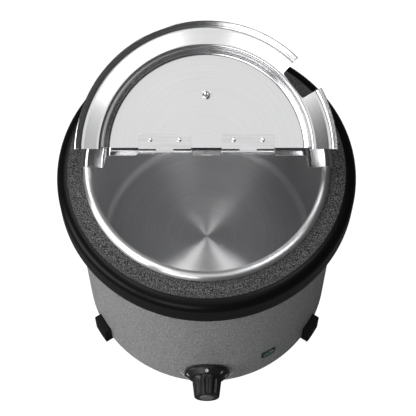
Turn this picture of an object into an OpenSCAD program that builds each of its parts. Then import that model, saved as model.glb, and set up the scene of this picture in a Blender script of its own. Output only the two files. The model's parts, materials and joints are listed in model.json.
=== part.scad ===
// Soup kettle: a wet-heat bain-marie casing with a lift-out pot and a split, hinged lid.
// Origin on the floor at the kettle's axis, +Z up, front (control knob) towards -Y.

/* [Casing] */
// Outer radius of the cylindrical casing
body_r = 154; // [150:0.5:156]
// Height of the casing's lower edge above the floor
body_z = 6; // [5:0.5:7]
// Thickness of the casing and tank sheet
sheet = 1.2; // [1:0.1:1.5]

/* [Collar] */
// Outer radius of the collar ring
collar_r = 170; // [168:0.5:174]
// Height of the collar's lower edge
collar_z = 262; // [258:0.5:264]
// Height of the collar's flat top
collar_top = 305; // [304:0.25:305.5]
// Radius of the collar's rounded upper edge
collar_edge = 13; // [11:0.5:14]
// Radius of the hole in the collar
collar_bore = 131.5; // [131:0.1:132.5]

/* [Pot] */
// Radius at the middle of the pot's rolled rim
rim_r = 134; // [133.5:0.1:134.5]
// Height of the middle of the rolled rim
rim_z = 312; // [311.5:0.1:313]
// Radius of the rolled rim's bead
bead_r = 4.9; // [4.5:0.1:5.1]
// Radius of the rolled rim's lower outer edge
bead_edge = 1.6; // [1.2:0.1:2.5]
// Thickness of the pot's sheet
pot_t = 0.8; // [0.7:0.1:1]
// Height of the pot's inner floor
pot_floor = 115; // [112:0.5:120]
// Inner radius of the pot's bottom corner
pot_fillet = 10; // [6:0.5:14]

/* [Lid] */
// Thickness of the lid's sheet
lid_t = 1; // [0.8:0.1:1.2]
// Outer radius of the lid's skirt
skirt_r = 142; // [141:0.5:146]
// Height of the lid's flat top when it is closed
lid_top = 345; // [342:0.5:348]
// Angle that the front half is folded back in the stored position
open_angle = 150; // [145:1:152]
// Distance from the hinge axis to the lid knob
knob_reach = 62.4; // [60:0.2:64]
// Angle of the ladle notch's middle, from the front
notch_angle = 52; // [40:0.5:60]
// Width of the ladle notch, as an angle
notch_span = 16.5; // [12:0.5:20]

/* [Hinges] */
// Distance from the lid's middle to each hinge's middle
hinge_x = 46; // [42:0.5:50]
// Width of a hinge leaf
leaf_w = 58; // [54:0.5:60]
// Reach of a hinge leaf from the pin's axis
leaf_reach = 20; // [18:0.5:24]
// Radius of a hinge pin
pin_r = 1.5; // [1.3:0.1:1.5]

/* [Controls] */
// Height of the control knob's axis
control_z = 46; // [44:1:52]
// Outer radius of the dial skirt
dial_r = 28; // [26:0.5:30]
// How far the control knob stands out of the casing
control_reach = 35; // [32:0.5:37]
// Angle of the indicator lamp from the front
lamp_angle = 29.7; // [26:0.1:36]
// Height of the indicator lamp's middle
lamp_z = 60; // [52:1:70]
// Height of the cable gland's axis
gland_z = 64; // [60:1:72]
// Radius of the cable gland's hole for a cord
cord_hole_r = 3.6; // [3:0.1:4.5]

/* [Feet] */
// Angle of the two front feet from the front
foot_angle = 57; // [50:1:65]
// Width of a foot along the casing
foot_w = 24.5; // [20:0.5:30]
// Height of a foot's outer block
foot_h = 36; // [30:1:42]
// How far a foot stands out of the casing
foot_proud = 9.5; // [6:0.5:12]

/* [Hidden] */

$fn = 96;
big = 400;
gap = 0.3;          // between parts that lie against each other and can move apart
fit = 0.05;         // radial clearance of a running fit
body_in = body_r - sheet;

// Collar
collar_wall = 3;
collar_under = collar_top - collar_wall;
edge_c = [collar_r - collar_edge, collar_top - collar_edge];
foot_edge = 6;      // radius of the collar's lower edge
low_c = [collar_r - foot_edge, collar_z + foot_edge];
land_r = 141;
land_z = rim_z - bead_r - gap;
lip_z = land_z - 11;
flange_top = collar_z + collar_wall;
boss_r = 4;
boss_at = body_in - 3.8;
boss_bore = 2.05;

// Well tank and heating
tank_r = 138;
tank_floor = 95;
tank_under = tank_floor - sheet;
tank_flange_r = boss_at - boss_r - 0.5;
gasket_t = 1;
tank_top = collar_under - gasket_t;
well_screw_at = (tank_r + sheet + tank_flange_r) / 2;
plate_t = 4;
heater_r = 80;
heater_tube = 4;
heater_z = tank_under - plate_t - heater_tube;
clamp_z = heater_z - heater_tube - 2;
shield_z = clamp_z - 12;
stud_r = 3;
base_top = body_z + 3.5;
base_t = 1.5;
foot_screw_at = body_r - 14;
foot_seat = 3.5;    // height of the foot screw's head seat above the floor
jacket_in = tank_r + sheet + 0.6;
jacket_out = boss_at - boss_r - 0.6;

// Lid profile: a flat top, a shoulder, a leaning step wall, a valley, an annulus and a ridge
// over the pot's bead, and a skirt. Every curve is given for the middle of the sheet.
lid_mid = lid_top - lid_t / 2;
wall_lean = 9;
ring_rise = 14;
ring_len = 14;
shoulder = 6;
valley = 3.5;
ridge = bead_r + gap + lid_t / 2;
skirt_end = [skirt_r, rim_z - 1.2];
ridge_c = [rim_r, rim_z];
ring_out = ridge_c + ridge * [-sin(ring_rise), cos(ring_rise)];
valley_c = ring_out - ring_len * [cos(ring_rise), sin(ring_rise)]
    + valley * [-sin(ring_rise), cos(ring_rise)];
wall_foot = valley_c - valley * [cos(wall_lean), sin(wall_lean)];
wall_len = (lid_mid - shoulder + shoulder * sin(wall_lean) - wall_foot.y) / cos(wall_lean);
shoulder_c = wall_foot + wall_len * [-sin(wall_lean), cos(wall_lean)]
    - shoulder * [cos(wall_lean), sin(wall_lean)];
skirt_run = skirt_end - ridge_c;
skirt_turn = atan2(skirt_run.y, skirt_run.x) + acos(ridge / norm(skirt_run));

// Hinges
leaf_t = 1;
knuckle_r = pin_r + leaf_t;
axis_z = lid_top - lid_t - leaf_t + knuckle_r;
knuckle_w = leaf_w / 3;
rear_edge = -4;
front_edge = -4.6;
leaf_start = knuckle_r + 0.8;
rivet_reach = 13.2;
rivet_x = 16;
rivet_r = 1.6;
notch_in = 119;

// Lid knob: as tall as the open lid's rest on the rear half allows
knob_r = 18;
knob_edge = 3;
lean = 180 - open_angle;
axis_drop = lid_top - axis_z;
knob_rest = (knob_reach - knob_r + knob_edge) * sin(lean) - axis_drop - gap - knob_edge;
knob_h = knob_rest / cos(lean) - axis_drop + knob_edge;
knob_screw_r = 2.5;

// Controls
tip_y = body_r + control_reach;
dial_back = body_r + 0.6;
dial_t = 9.5;
dial_edge = 3.5;
grip_r = 18.3;
grip_tip_r = 15.8;
grip_y = dial_back + dial_t;
cap_r = 9;
shaft_r = 3;
plate_y = body_in - 5;
thermostat_r = 16;
thermostat_len = 28;
hex_r = 13;

// Round upright vessel, as a half section: flat floor, rounded corner, straight wall
module vessel_half(r, z0, z1, fillet) {
    translate([0, z0]) square([r - fillet, z1 - z0]);
    translate([0, z0 + fillet]) square([r, z1 - z0 - fillet]);
    translate([r - fillet, z0 + fillet]) circle(fillet);
}

module ring(r_in, r_out, z0, z1) {
    translate([0, 0, z0]) difference() {
        cylinder(r = r_out, h = z1 - z0);
        translate([0, 0, -1]) cylinder(r = r_in, h = z1 - z0 + 2);
    }
}

// Turns what is built at the front (-Y) round to an angle, positive towards +X
module at_angle(a) rotate([0, 0, a]) children();

// Builds along +Z what points out of the front, from the casing's axis
module out_front(z) translate([0, 0, z]) rotate([90, 0, 0]) children();

module out_back(z) translate([0, 0, z]) rotate([-90, 0, 0]) children();

module rounded_plate(w, h, t, r) {
    linear_extrude(t) {
        square([w - 2 * r, h], center = true);
        square([w, h - 2 * r], center = true);
        for (x = [-1, 1], y = [-1, 1]) translate([x * (w / 2 - r), y * (h / 2 - r)]) circle(r);
    }
}

// Pan-head screw with its head's seat at z = 0 and its shank going up
module screw(head_r, head_h, r, len) {
    translate([0, 0, -head_h]) difference() {
        cylinder(r = head_r, h = head_h);
        for (a = [0, 90]) rotate([0, 0, a])
            translate([-head_r * 0.55, -0.4, -1]) cube([head_r * 1.1, 0.8, 1 + head_h * 0.45]);
    }
    cylinder(r = r, h = len);
}

function arc(c, r, a0, a1, n = 5) = [for (i = [0:n]) let (a = a0 + (a1 - a0) * i / n)
    c + r * [cos(a), sin(a)]];

function reversed(list) = [for (i = [len(list) - 1:-1:0]) list[i]];

// Ring of a tube at a route's point i: 8 points square to the route there
function route_dir(p, i) = let (d = p[min(i + 1, len(p) - 1)] - p[max(i - 1, 0)]) d / norm(d);
function route_ring(p, i, r) = let (
    d = route_dir(p, i),
    side = abs(d.z) > 0.9 ? [1, 0, 0] : [0, 0, 1],
    u = cross(side, d) / norm(cross(side, d)),
    v = cross(d, u)
) [for (k = [0:7]) p[i] + r * (cos(k * 45) * u + sin(k * 45) * v)];

// Closed tube of radius r along a list of points
module tube_along(p, r) {
    n = len(p);
    polyhedron(
        points = [for (i = [0:n - 1]) each route_ring(p, i, r)],
        faces = concat(
            [[for (k = [0:7]) k]],
            [for (i = [0:n - 2], k = [0:7])
                [i * 8 + k, (i + 1) * 8 + k, (i + 1) * 8 + (k + 1) % 8, i * 8 + (k + 1) % 8]],
            [[for (k = [7:-1:0]) (n - 1) * 8 + k]]
        )
    );
}

// ---- Casing, collar and tank ----

module outer_casing() color([0.25, 0.25, 0.26]) difference() {
    union() {
        ring(body_in, body_r, body_z, flange_top);
        ring(boss_at - boss_r, body_r, flange_top - sheet, flange_top);
    }
    for (a = [45:90:315]) at_angle(a)
        translate([0, -boss_at, flange_top - 5]) cylinder(r = 2.2, h = 10);
    out_front(control_z) translate([0, 0, body_in - 20]) cylinder(r = 6, h = 40);
    for (x = [-1, 1]) out_front(control_z)
        translate([x * 14, 0, body_in - 20]) cylinder(r = 2.2, h = 40);
    at_angle(lamp_angle) out_front(lamp_z)
        translate([-8.2, -5.7, body_in - 20]) cube([16.4, 11.4, 40]);
    out_back(gland_z) translate([0, 0, body_in - 20]) cylinder(r = 10.1, h = 40);
}

module collar_outline() {
    polygon([[collar_bore, lip_z], [collar_bore, land_z], [land_r, land_z],
        [edge_c.x, collar_top], [collar_r, edge_c.y], [collar_r, low_c.y],
        [low_c.x, collar_z], [body_r + 0.1, collar_z], [body_r + 0.1, lip_z]]);
    translate(edge_c) circle(collar_edge);
    translate(low_c) circle(foot_edge);
}

module collar_hollow() {
    out = body_r + 0.1;
    polygon([[collar_bore + collar_wall, 0], [collar_bore + collar_wall, collar_under],
        [edge_c.x, collar_under], [collar_r - collar_wall, edge_c.y],
        [collar_r - collar_wall, low_c.y], [low_c.x, collar_z + collar_wall],
        [out, collar_z + collar_wall], [out, 0]]);
    translate(edge_c) circle(collar_edge - collar_wall);
    translate(low_c) circle(foot_edge - collar_wall);
}

module collar() color([0.1, 0.1, 0.11]) difference() {
    union() {
        rotate_extrude() difference() {
            collar_outline();
            collar_hollow();
        }
        for (a = [45:90:315]) at_angle(a) translate([0, -boss_at, flange_top])
            cylinder(r = boss_r, h = collar_under - flange_top + 1);
    }
    for (a = [45:90:315]) at_angle(a)
        translate([0, -boss_at, flange_top - 1]) cylinder(r = boss_bore, h = 20);
    for (a = [0:90:270]) at_angle(a)
        translate([0, -well_screw_at, collar_under - 1]) cylinder(r = 1.55, h = 3);
}

module well_tank() color("lightgray") difference() {
    rotate_extrude() {
        difference() {
            vessel_half(tank_r + sheet, tank_under, tank_top, 8 + sheet);
            vessel_half(tank_r, tank_floor, tank_top + 1, 8);
        }
        translate([tank_r, tank_top - sheet]) square([tank_flange_r - tank_r, sheet]);
    }
    for (a = [0:90:270]) at_angle(a)
        translate([0, -well_screw_at, tank_top - 3]) cylinder(r = 1.65, h = 5);
}

module well_gasket() color("firebrick") difference() {
    ring(tank_r + sheet, tank_flange_r, tank_top, collar_under);
    for (a = [0:90:270]) at_angle(a)
        translate([0, -well_screw_at, tank_top - 1]) cylinder(r = 1.65, h = 4);
}

module well_screws() color("silver") for (a = [0:90:270]) at_angle(a)
    translate([0, -well_screw_at, tank_top - sheet]) screw(2.4, 1.8, 1.5, sheet + gasket_t + 1.8);

module collar_screws() color("silver") for (a = [45:90:315]) at_angle(a)
    translate([0, -boss_at, flange_top - sheet]) screw(3.6, 2.4, 2, 14);

module base_plate() color([0.55, 0.56, 0.58]) difference() {
    rotate_extrude() difference() {
        vessel_half(body_in - 0.2, base_top - base_t, base_top + 12, 3);
        vessel_half(body_in - 0.2 - base_t, base_top, base_top + 13, 1.5);
    }
    translate([0, 0, body_z - 5]) cylinder(r = stud_r + 0.2, h = 20);
    for (a = [-foot_angle, foot_angle, 180]) at_angle(a)
        translate([0, -foot_screw_at, body_z - 5]) cylinder(r = 2.1, h = 20);
    for (a = [0:30:330]) at_angle(a) translate([-2.5, -110, body_z - 5]) cube([5, 28, 20]);
    for (x = [-1, 1]) translate([50 + x * 15, 84, body_z - 5]) cylinder(r = 1.6, h = 20);
}

// ---- Feet ----

module foot() color([0.07, 0.07, 0.07]) difference() {
    intersection() {
        ring(body_r - 26, body_r + foot_proud, 0, foot_h);
        translate([-foot_w / 2, -big, -1]) cube([foot_w, big, foot_h + 2]);
    }
    translate([0, 0, base_top - base_t]) cylinder(r = body_in - 1, h = big);
    ring(body_in - 2, body_r + 0.1, body_z, big);
    translate([0, -foot_screw_at, -1]) cylinder(r = 4.5, h = foot_seat + 1);
    translate([0, -foot_screw_at, -1]) cylinder(r = 2.1, h = 20);
}

module foot_left() at_angle(-foot_angle) foot();
module foot_right() at_angle(foot_angle) foot();
module foot_rear() at_angle(180) foot();

module foot_screws() color("silver") for (a = [-foot_angle, foot_angle, 180]) at_angle(a)
    translate([0, -foot_screw_at, foot_seat]) screw(4, 2.4, 2, 10);

// ---- Heating ----

module heat_plate() color([0.75, 0.76, 0.78]) difference() {
    translate([0, 0, tank_under - plate_t]) cylinder(r = 112, h = plate_t);
    translate([0, 0, tank_under - plate_t - 1]) cylinder(r = stud_r, h = plate_t);
}

module heating_element() color([0.45, 0.4, 0.36]) {
    rotate([0, 0, -75]) rotate_extrude(angle = 330) translate([heater_r, heater_z]) circle(heater_tube);
    for (a = [-75, -105]) rotate([0, 0, a]) translate([heater_r, 0, 0]) {
        translate([0, 0, heater_z]) sphere(heater_tube);
        translate([0, 0, heater_z - 30]) cylinder(r = heater_tube, h = 30);
        translate([0, 0, heater_z - 38]) cylinder(r = 1.5, h = 9);
    }
}

module element_clamp() color([0.7, 0.71, 0.73]) difference() {
    translate([0, 0, clamp_z]) cylinder(r = 90, h = 2);
    translate([0, 0, clamp_z - 1]) cylinder(r = stud_r + 0.2, h = 4);
    for (a = [-75, -105]) rotate([0, 0, a])
        translate([heater_r, 0, clamp_z - 1]) cylinder(r = heater_tube + 1, h = 4);
    for (a = [30:60:330]) at_angle(a) translate([0, -50, clamp_z - 1]) cylinder(r = 14, h = 4);
}

module heat_shield() color([0.82, 0.82, 0.84]) difference() {
    rotate_extrude() difference() {
        vessel_half(126, shield_z, shield_z + 16, 5);
        vessel_half(125, shield_z + 1, shield_z + 17, 4);
    }
    translate([0, 0, shield_z - 1]) cylinder(r = stud_r + 0.2, h = 4);
    for (a = [-75, -105]) rotate([0, 0, a])
        translate([heater_r, 0, shield_z - 1]) cylinder(r = heater_tube + 1, h = 4);
}

module tie_stud() color("silver")
    translate([0, 0, body_z - 3]) cylinder(r = stud_r, h = tank_under - 1 - body_z + 3);

module nut(z0, r, h) translate([0, 0, z0]) difference() {
    cylinder(r = r, h = h, $fn = 6);
    translate([0, 0, -1]) cylinder(r = stud_r, h = h + 2);
}

module clamp_nut() color("silver") nut(clamp_z - 5, 6, 5);
module base_nut() color("silver") nut(base_top - base_t - 4.5, 6, 4.5);

module insulation_jacket() color([0.85, 0.8, 0.62])
    ring(jacket_in, jacket_out, tank_floor + 8, tank_top - 14);

// ---- Thermostat, cut-out and wiring ----

module thermostat() color([0.6, 0.58, 0.5]) out_front(control_z) difference() {
    union() {
        translate([0, 0, plate_y - 2 - thermostat_len]) cylinder(r = thermostat_r, h = thermostat_len);
        translate([0, 0, plate_y - 3]) cylinder(r = 5, h = dial_back - plate_y + 4);
        for (x = [-1, 1]) translate([x * 8 - 3, -0.4, plate_y - 10 - thermostat_len])
            cube([6, 0.8, 9]);
    }
    translate([0, 0, plate_y - 16]) cylinder(r = shaft_r + fit, h = big);
}

module thermostat_plate() color("silver") out_front(control_z) translate([0, 0, plate_y - 2])
    difference() {
        rounded_plate(42, 26, 2, 4);
        translate([0, 0, -1]) cylinder(r = 5, h = 4);
        for (x = [-1, 1]) translate([x * 14, 0, -1]) cylinder(r = 2, h = 4);
    }

module thermostat_screws() color("silver") for (x = [-1, 1]) out_front(control_z)
    translate([x * 14, 0, body_r]) rotate([180, 0, 0]) screw(3.4, 1.6, 2, body_r - plate_y + 2);

bulb_path = [[-10, -117, control_z + 8], [-12, -108, 56], [-22, -102, 60], [-60, -98, 62], [-90, -91, 63],
    [-102, -82, 70], [-105, -76, 80], [-105, -70, 87], [-104, -58, 87.5], [-104, -30, 87.5],
    [-104, -12, 87.5]];

module capillary_bulb() color([0.72, 0.5, 0.35]) {
    tube_along(bulb_path, 0.9);
    translate([-104, -12, 87.5]) rotate([-90, 0, 0]) cylinder(r = 2, h = 40);
}

module thermal_cutout() color([0.15, 0.15, 0.16]) translate([0, 98, 0]) {
    translate([0, 0, tank_under - plate_t - 8]) cylinder(r = 8, h = 8);
    for (x = [-1, 1]) translate([x * 4 - 3, -0.4, tank_under - plate_t - 16]) cube([6, 0.8, 9]);
}

module terminal_block() color("white") translate([50, 84, base_top]) difference() {
    translate([-21, -8, 0]) cube([42, 16, 14]);
    for (x = [-14:7:14]) translate([x, 0, 6]) cylinder(r = 2, h = 10);
    for (x = [-14:7:14]) translate([x, 0, 7]) rotate([90, 0, 0]) cylinder(r = 1.8, h = 20, center = true);
    for (x = [-15, 15]) translate([x, 0, -1]) cylinder(r = 1.6, h = 5);
}

gland_in = body_in - 12.2;
lead_ends = [
    [[-2.4, gland_in, gland_z], [-2, 118, 62], [14, 108, 40], [30, 104, 20], [36, 99, 16.5],
        [36, 92.5, 16.5]],
    [[2.4, gland_in, gland_z], [3, 118, 64], [20, 110, 44], [38, 105, 22], [43, 99, 16.5],
        [43, 92.5, 16.5]],
    [[36, 75.5, 16.5], [34, 64, 18], [24, 10, 22], [-14, -50, 30], [-16, -90, 40],
        [-9, -102, control_z - 2], [-8, -109.5, control_z]],
    [[43, 75.5, 16.5], [44, 62, 20], [40, 0, 30], [32, -50, 36], [23, -70, 40],
        [20.7, -77.3, 43], [20.7, -77.3, 47.6]],
    [[8, -109.5, control_z], [8, -102, control_z - 3], [2, -92, 37], [-10, -84, 35], [-18, -79, 38],
        [-20.7, -77.3, 42], [-20.7, -77.3, 47.6]],
    [[50, 75.5, 16.5], [52, 66, 20], [78, 0, 34], [80, -60, 48], [70, -92, 58], [62.6, -100.6, 60]]
];

module internal_leads() color([0.75, 0.3, 0.2]) for (p = lead_ends) tube_along(p, 1.4);

// ---- Indicator lamp and cable gland ----

module indicator_bezel() color([0.08, 0.08, 0.08]) at_angle(lamp_angle) out_front(lamp_z)
    translate([0, 0, body_r]) difference() {
        rounded_plate(20, 15, 1.8, 2.5);
        translate([0, 0, -1]) rounded_plate(16, 11, 5, 1.5);
    }

module indicator_lens() color([0.02, 0.25, 0.15]) at_angle(lamp_angle) out_front(lamp_z)
    translate([0, 0, body_r - 2]) rounded_plate(15.8, 10.8, 5.5, 1.4);

module indicator_lamp() color([0.85, 0.85, 0.8]) at_angle(lamp_angle) out_front(lamp_z) {
    translate([-7.8, -5.3, body_r - 26]) cube([15.6, 10.6, 24]);
    for (x = [-1, 1]) translate([x * 4.5 - 2.4, -0.4, body_r - 34]) cube([4.8, 0.8, 8.5]);
}

module gland_body() color([0.1, 0.1, 0.1]) out_back(gland_z) difference() {
    union() {
        translate([0, 0, body_in - 12]) cylinder(r = 10, h = 14);
        translate([0, 0, body_r]) cylinder(r = hex_r, h = 6, $fn = 6);
        translate([0, 0, body_r + 6]) cylinder(r = 10, h = 10);
    }
    translate([0, 0, body_in - 20]) cylinder(r = 5.6, h = 22);
    translate([0, 0, body_in + 1]) cylinder(r = 7.6, h = 30);
}

module gland_nut() color([0.1, 0.1, 0.1]) out_back(gland_z) difference() {
    union() {
        translate([0, 0, body_r + 6.3]) cylinder(r = hex_r, h = 11, $fn = 6);
        translate([0, 0, body_r + 17.3]) cylinder(r1 = 11, r2 = 8, h = tip_y - body_r - 17.3);
    }
    translate([0, 0, body_r + 5]) cylinder(r = 10, h = 11.2);
    translate([0, 0, body_r + 5]) cylinder(r = 6.5, h = big);
}

module gland_seal() color([0.2, 0.2, 0.2]) out_back(gland_z) difference() {
    union() {
        translate([0, 0, body_r + 1]) cylinder(r = 7.5, h = 14);
        translate([0, 0, body_r + 15]) cylinder(r = 6.4, h = 6);
    }
    translate([0, 0, body_r]) cylinder(r = cord_hole_r, h = 30);
}

module gland_locknut() color([0.1, 0.1, 0.1]) out_back(gland_z)
    translate([0, 0, body_in - 6]) difference() {
        cylinder(r = hex_r, h = 5, $fn = 6);
        translate([0, 0, -1]) cylinder(r = 10, h = 8);
    }

// ---- Control knob ----

module dial_skirt() color([0.05, 0.05, 0.05]) out_front(control_z) difference() {
    union() {
        translate([0, 0, dial_back]) cylinder(r = dial_r, h = dial_edge);
        translate([0, 0, dial_back + dial_edge])
            cylinder(r1 = dial_r, r2 = grip_r + 3, h = dial_t - dial_edge);
    }
    translate([0, 0, dial_back - 1]) cylinder(r = dial_r - 3, h = 2.5);
    translate([0, 0, dial_back + 1.4]) cylinder(r1 = dial_r - 3, r2 = grip_r, h = dial_t - 3.5);
    translate([0, 0, dial_back - 1]) cylinder(r = 7, h = dial_t + 2);
}

module control_knob() color([0.05, 0.05, 0.05]) out_front(control_z) difference() {
    union() {
        translate([0, 0, grip_y]) cylinder(r1 = grip_r, r2 = grip_tip_r, h = tip_y - 2 - grip_y);
        translate([0, 0, tip_y - 2]) cylinder(r1 = grip_tip_r, r2 = grip_tip_r - 2, h = 1.4);
        translate([0, 0, dial_back + 2]) cylinder(r = 6.9, h = dial_t);
    }
    taper = atan((grip_r - grip_tip_r) / (tip_y - 2 - grip_y));
    for (a = [18:36:342]) rotate([0, 0, a + 90]) translate([grip_r + 1.2, 0, grip_y + 2.5])
        rotate([0, -taper, 0]) cylinder(r = 2.8, h = 40);
    translate([0, 0, tip_y - 3]) cylinder(r = cap_r + 0.1, h = 5);
    translate([0, 0, dial_back]) cylinder(r = shaft_r + fit, h = 22);
}

module knob_cap() color([0.6, 0.6, 0.6]) out_front(control_z) {
    translate([0, 0, tip_y - 3]) cylinder(r = cap_r, h = 2.4);
    translate([0, 0, tip_y - 0.6]) cylinder(r1 = cap_r, r2 = cap_r - 0.6, h = 0.6);
}

module thermostat_shaft() color("silver") out_front(control_z) difference() {
    translate([0, 0, plate_y - 14]) cylinder(r = shaft_r, h = dial_back + 20 - plate_y + 14);
    translate([-5, 1.8, dial_back + 6]) cube([10, 5, 30]);
}

// ---- Pot ----

// Section of the rolled rim: round on top, square outside and below with a small edge radius
module bead(r, edge) {
    circle(r);
    translate([0, edge - r]) square([r, r - edge]);
    translate([0, -r]) square([r - edge, r]);
    translate([r - edge, edge - r]) circle(edge);
}

module soup_pot() color([0.75, 0.75, 0.76]) rotate_extrude() {
    pot_in = rim_r - bead_r;
    difference() {
        vessel_half(pot_in + pot_t, pot_floor - pot_t, rim_z, pot_fillet + pot_t);
        vessel_half(pot_in, pot_floor, rim_z + 1, pot_fillet);
    }
    translate([rim_r, rim_z]) difference() {
        bead(bead_r, bead_edge);
        bead(bead_r - pot_t, bead_edge - pot_t);
        polygon([[0, 0], [-2 * bead_r, 0], [-2 * bead_r, -2 * bead_r], [-0.7 * bead_r, -2 * bead_r]]);
    }
}

// ---- Lid ----

function lid_side(s) = concat(
    [[0, lid_mid + s]],
    arc(shoulder_c, shoulder + s, 90, wall_lean),
    arc(valley_c, valley - s, 180 + wall_lean, 270 + ring_rise),
    arc(ridge_c, ridge + s, 90 + ring_rise, skirt_turn),
    [skirt_end + s * [cos(skirt_turn), sin(skirt_turn)]]
);

module whole_lid() rotate_extrude()
    polygon(concat(lid_side(lid_t / 2), reversed(lid_side(-lid_t / 2))));

// Opens the front half: turns what is built closed back about the hinge axis
module opened() translate([0, 0, axis_z]) rotate([-open_angle, 0, 0])
    translate([0, 0, -axis_z]) children();

module rivet_holes(side) for (h = [-1, 1], x = [-1, 1])
    translate([h * hinge_x + x * rivet_x, side * rivet_reach, lid_top - 6])
        cylinder(r = rivet_r + fit, h = 12);

module lid_rear() color([0.8, 0.8, 0.81]) difference() {
    intersection() {
        whole_lid();
        translate([-big / 2, rear_edge, 0]) cube([big, big, big]);
    }
    for (h = [-1, 1]) translate([h * hinge_x - leaf_w / 2 - 1, -20, lid_top - 10])
        cube([leaf_w + 2, 20 + leaf_start, 20]);
    rivet_holes(1);
}

module lid_front() color([0.8, 0.8, 0.81]) opened() difference() {
    intersection() {
        whole_lid();
        translate([-big / 2, front_edge - big, 0]) cube([big, big, big]);
    }
    linear_extrude(lid_top - 15) polygon([for (p = [[notch_in, -1], [170, -1], [170, 1], [notch_in, 1]])
        let (a = notch_angle + p.y * notch_span / 2) p.x * [sin(a), -cos(a)]]);
    rivet_holes(-1);
    translate([0, -knob_reach, lid_top - 5]) cylinder(r = knob_screw_r + 0.1, h = 10);
}

// Flat leaf under the sheet, on one side (1 rear, -1 front) of the hinge axis
module leaf_plate(side, h) {
    reach = leaf_reach - leaf_start;
    translate([h * hinge_x, side * (leaf_start + reach / 2), axis_z - knuckle_r])
        rounded_plate(leaf_w, reach, leaf_t, 2);
    translate([h * hinge_x - leaf_w / 2, side > 0 ? leaf_start : -leaf_start - 3, axis_z - knuckle_r])
        cube([leaf_w, 3, leaf_t]);
}

module knuckle(x, w, bore, side) {
    difference() {
        union() {
            translate([x - w / 2, 0, axis_z]) rotate([0, 90, 0]) cylinder(r = knuckle_r, h = w);
            translate([x - w / 2, side > 0 ? 0 : -leaf_start - 1, axis_z - knuckle_r])
                cube([w, leaf_start + 1, leaf_t]);
        }
        translate([x - w / 2 - 1, 0, axis_z]) rotate([0, 90, 0]) cylinder(r = bore, h = w + 2);
    }
}

module front_leaf(h) color([0.78, 0.78, 0.79]) opened() difference() {
    union() {
        leaf_plate(-1, h);
        knuckle(h * hinge_x, knuckle_w, pin_r + fit, -1);
    }
    rivet_holes(-1);
}

module rear_leaf(h) color([0.78, 0.78, 0.79]) difference() {
    union() {
        leaf_plate(1, h);
        for (x = [-1, 1])
            knuckle(h * hinge_x + x * (knuckle_w + 0.15), knuckle_w - 0.3, pin_r + 0.01, 1);
    }
    rivet_holes(1);
}

module hinge_pin(h) color("silver") translate([h * hinge_x - leaf_w / 2 - 0.5, 0, axis_z])
    rotate([0, 90, 0]) cylinder(r = pin_r, h = leaf_w + 1);

module front_leaf_left() front_leaf(-1);
module front_leaf_right() front_leaf(1);
module rear_leaf_left() rear_leaf(-1);
module rear_leaf_right() rear_leaf(1);
module hinge_pin_left() hinge_pin(-1);
module hinge_pin_right() hinge_pin(1);

module rivets(side) for (h = [-1, 1], x = [-1, 1])
    translate([h * hinge_x + x * rivet_x, side * rivet_reach, lid_top]) {
        translate([0, 0, -lid_t - leaf_t]) cylinder(r = rivet_r, h = lid_t + leaf_t);
        cylinder(r1 = 2.6, r2 = 1.8, h = 0.7);
        translate([0, 0, -lid_t - leaf_t - 0.7]) cylinder(r1 = 1.8, r2 = 2.6, h = 0.7);
    }

module rear_rivets() color("silver") rivets(1);
module front_rivets() color("silver") opened() rivets(-1);

module lid_knob() color([0.05, 0.05, 0.05]) opened() translate([0, -knob_reach, lid_top])
    difference() {
        rotate_extrude() {
            square([11, 2]);
            square([8, knob_h - 6]);
            translate([0, knob_h - 12]) polygon([[0, 0], [8, 0], [knob_r, 5], [knob_r, 12 - knob_edge],
                [knob_r - knob_edge, 12 - knob_edge], [knob_r - knob_edge, 12], [0, 12]]);
            translate([knob_r - knob_edge, knob_h - knob_edge]) circle(knob_edge);
        }
        translate([0, 0, -1]) cylinder(r = knob_screw_r + fit, h = 16);
    }

module lid_knob_screw() color("silver") opened()
    translate([0, -knob_reach, lid_top - lid_t - 0.8]) screw(4.4, 2.4, knob_screw_r, 14);

module lid_knob_washer() color("silver") opened() translate([0, -knob_reach, 0])
    ring(knob_screw_r + 0.1, 5.5, lid_top - lid_t - 0.8, lid_top - lid_t);

outer_casing();
collar();
well_tank();
well_gasket();
base_plate();
foot_left();
foot_right();
foot_rear();
foot_screws();
collar_screws();
well_screws();
heat_plate();
heating_element();
element_clamp();
heat_shield();
tie_stud();
clamp_nut();
base_nut();
insulation_jacket();
thermostat();
thermostat_plate();
thermostat_screws();
capillary_bulb();
thermal_cutout();
terminal_block();
internal_leads();
indicator_bezel();
indicator_lens();
indicator_lamp();
gland_body();
gland_nut();
gland_seal();
gland_locknut();
dial_skirt();
control_knob();
knob_cap();
thermostat_shaft();
soup_pot();
lid_rear();
rear_leaf_left();
rear_leaf_right();
hinge_pin_left();
hinge_pin_right();
rear_rivets();
lid_front();
front_leaf_left();
front_leaf_right();
front_rivets();
lid_knob();
lid_knob_screw();
lid_knob_washer();
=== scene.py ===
import json
import math

import bmesh
import bpy
from mathutils import Matrix, Vector

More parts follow.
